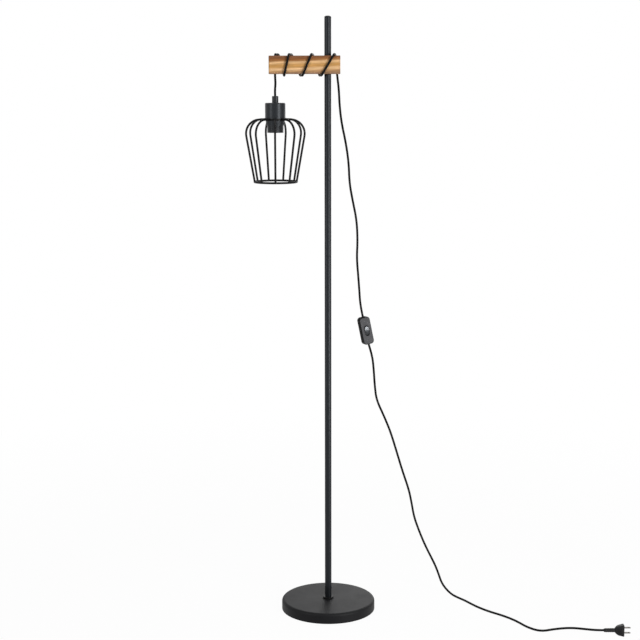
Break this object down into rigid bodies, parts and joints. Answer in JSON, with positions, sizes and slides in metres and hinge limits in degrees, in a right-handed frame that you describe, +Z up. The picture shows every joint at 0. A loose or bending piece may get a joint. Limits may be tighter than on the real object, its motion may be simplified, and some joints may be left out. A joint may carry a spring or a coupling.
{
  "type": "floor lamp",
  "caption": "Slim floor lamp with a round weighted base, a straight pole, an off-centre wooden beam wound with cord, a lampholder hanging in a wire cage, an in-line rocker switch and a plug.",
  "frame": {"origin": "centre of the base's underside, on the floor and on the pole's axis", "axes": "+Z up along the pole, -Y towards the front, -X towards the beam's long end"},
  "size_m": [0.9165, 0.3185, 1.4595],
  "materials": {
    "pole_black": "satin black paint",
    "head_black": "satin black paint",
    "weight_iron": "as cast",
    "pad_rubber": "matte",
    "fixing_steel": "zinc plated",
    "washer_fibre": "matte",
    "beam_wood": "oiled, grain along the beam",
    "bush_brass": "bare",
    "cord_black": "soft sheen",
    "holder_black": "moulded",
    "switch_black": "moulded, soft gloss",
    "plug_black": "moulded",
    "blade_metal": "nickel plated"
  },
  "bodies": {
    "stand": {"base_cover": "pole_black", "base_weight": "weight_iron", "base_pad": "pad_rubber", "foot_collar": "pole_black", "foot_stud": "fixing_steel", "foot_washer": "fixing_steel", "foot_nut": "fixing_steel", "pole_lower": "pole_black", "pole_middle": "pole_black", "pole_upper": "pole_black", "tube_inserts": "fixing_steel", "coupler_studs": "fixing_steel", "beam_stud": "fixing_steel", "pole_top_tube": "pole_black", "pole_cap": "pole_black", "friction_washers": "washer_fibre", "cord_upper": "cord_black", "switch_front_shell": "switch_black", "switch_back_shell": "switch_black", "switch_pivot": "fixing_steel", "switch_contacts": "bush_brass", "switch_screws": "fixing_steel", "cord_lower": "cord_black", "plug_relief": "plug_black", "plug_body": "plug_black", "plug_blades": "blade_metal"},
    "arm": {"beam": "beam_wood", "beam_bush": "bush_brass", "cord_winding": "cord_black"},
    "pendant": {"pendant_cord": "cord_black"},
    "head": {"cord_grip": "holder_black", "socket_cup": "head_black", "head_nipple": "fixing_steel", "head_nut": "fixing_steel", "head_lead": "cord_black", "lampholder_cap": "holder_black", "lampholder_body": "holder_black", "screw_shell": "bush_brass", "centre_contact": "bush_brass", "lampholder_terminals": "bush_brass", "shade_ring": "head_black", "cage_collar": "head_black", "cage_bottom_ring": "head_black", "cage_wire_1": "head_black", "cage_wire_2": "head_black", "cage_wire_3": "head_black", "cage_wire_4": "head_black", "cage_wire_5": "head_black", "cage_wire_6": "head_black", "cage_wire_7": "head_black", "cage_wire_8": "head_black", "cage_wire_9": "head_black"},
    "rocker": {"switch_rocker": "switch_black"}
  },
  "joints": [
    {"name": "arm_swivel", "type": "hinge", "parent": "stand", "child": "arm", "pos_m": [0, 0, 1.345], "axis": [0, 0, 1], "range_deg": [-90, 90], "deforming": ["cord_upper"]},
    {"name": "pendant_side_swing", "type": "hinge", "parent": "arm", "child": "pendant", "pos_m": [-0.125, 0, 1.3235], "axis": [0, 1, 0], "range_deg": [-12, 25]},
    {"name": "pendant_front_swing", "type": "hinge", "parent": "pendant", "child": "head", "pos_m": [-0.125, 0, 1.2722], "axis": [1, 0, 0], "range_deg": [-25, 25]},
    {"name": "switch_rocker_tip", "type": "hinge", "parent": "stand", "child": "rocker", "pos_m": [0.09451, 0.04124, 0.69931], "axis": [0.932, 0.309, 0.1896], "range_deg": [-12, 0]}
  ]
}
